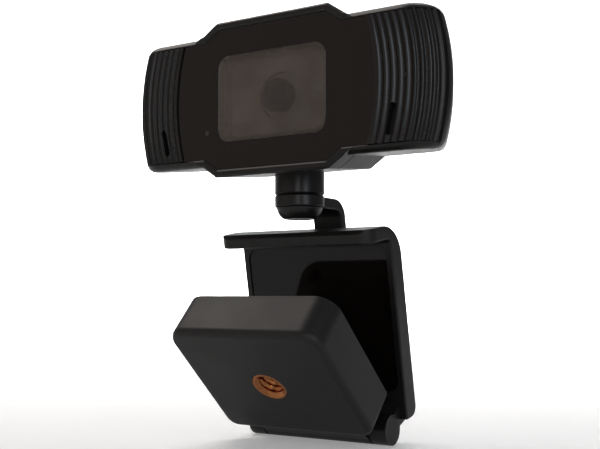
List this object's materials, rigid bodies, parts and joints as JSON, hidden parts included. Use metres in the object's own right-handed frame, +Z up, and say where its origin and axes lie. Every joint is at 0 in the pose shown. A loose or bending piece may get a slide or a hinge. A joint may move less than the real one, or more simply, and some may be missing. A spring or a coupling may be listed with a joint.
{
  "type": "webcam",
  "caption": "Clip-on webcam: wide head on a swivel neck and tilting arm, over a monitor clip whose folding foot takes a tripod screw",
  "frame": {"origin": "centre of the tripod thread's mouth, in the outer face of the folding foot", "axes": "+Z up along the neck with the head level, +X across the width of the head along the hinge axes, -Y the way the lens looks"},
  "size_m": [0.0798, 0.0406, 0.0936],
  "materials": {
    "satin_black": "moulded ABS, fine texture",
    "gloss_black": "polished black acrylic",
    "smoked_window": "smoked acrylic pane, polished",
    "optical_glass": "coated lens glass and clear acrylic",
    "inner_black": "black inner mouldings",
    "white_nylon": "dark nylon",
    "rubber": "soft black rubber",
    "steel": "plated steel",
    "circuit_board": "solder-masked glass fibre",
    "sensor": "sensor package",
    "lamp": "moulded lamp chip",
    "brass": "turned brass, bright"
  },
  "bodies": {
    "foot": {"foot_shell": "satin_black", "foot_cover": "satin_black", "foot_screws": "steel", "grip_pad": "rubber", "tripod_insert": "brass"},
    "bracket": {"clip_bracket": "satin_black", "bracket_liner": "gloss_black", "hinge_pin": "steel", "pin_caps": "satin_black", "hinge_washers": "white_nylon", "tilt_screw": "steel", "tilt_nut": "steel", "tilt_washers": "white_nylon"},
    "arm": {"swivel_arm": "satin_black", "neck_washer": "steel"},
    "head": {"front_bezel": "satin_black", "front_panel": "gloss_black", "lens_window": "smoked_window", "light_pipe": "optical_glass", "status_lamp": "lamp", "left_grip": "satin_black", "right_grip": "satin_black", "rear_cover": "satin_black", "main_board": "circuit_board", "board_screws": "steel", "image_sensor": "sensor", "lens_holder": "inner_black", "lens_barrel": "inner_black", "lens_ring": "inner_black", "lens_glass": "optical_glass", "microphones": "steel", "microphone_boots": "rubber", "cable_header": "inner_black", "lens_shroud": "inner_black", "cable_gland": "rubber", "case_screws": "steel", "neck_stub": "satin_black", "neck_cap": "satin_black", "pivot_screw": "steel"}
  },
  "joints": [
    {"name": "foot_hinge", "type": "hinge", "parent": "foot", "child": "bracket", "pos_m": [0, 0.02037, -0.01047], "axis": [-1, 0, 0], "range_deg": [-36, 94]},
    {"name": "head_tilt", "type": "hinge", "parent": "bracket", "child": "arm", "pos_m": [0, 0.02534, 0.02819], "axis": [1, 0, 0], "range_deg": [-75, 9]},
    {"name": "head_turn", "type": "hinge", "parent": "arm", "child": "head", "pos_m": [0, 0.01114, 0.04484], "axis": [0, 0, 1], "continuous": true}
  ]
}
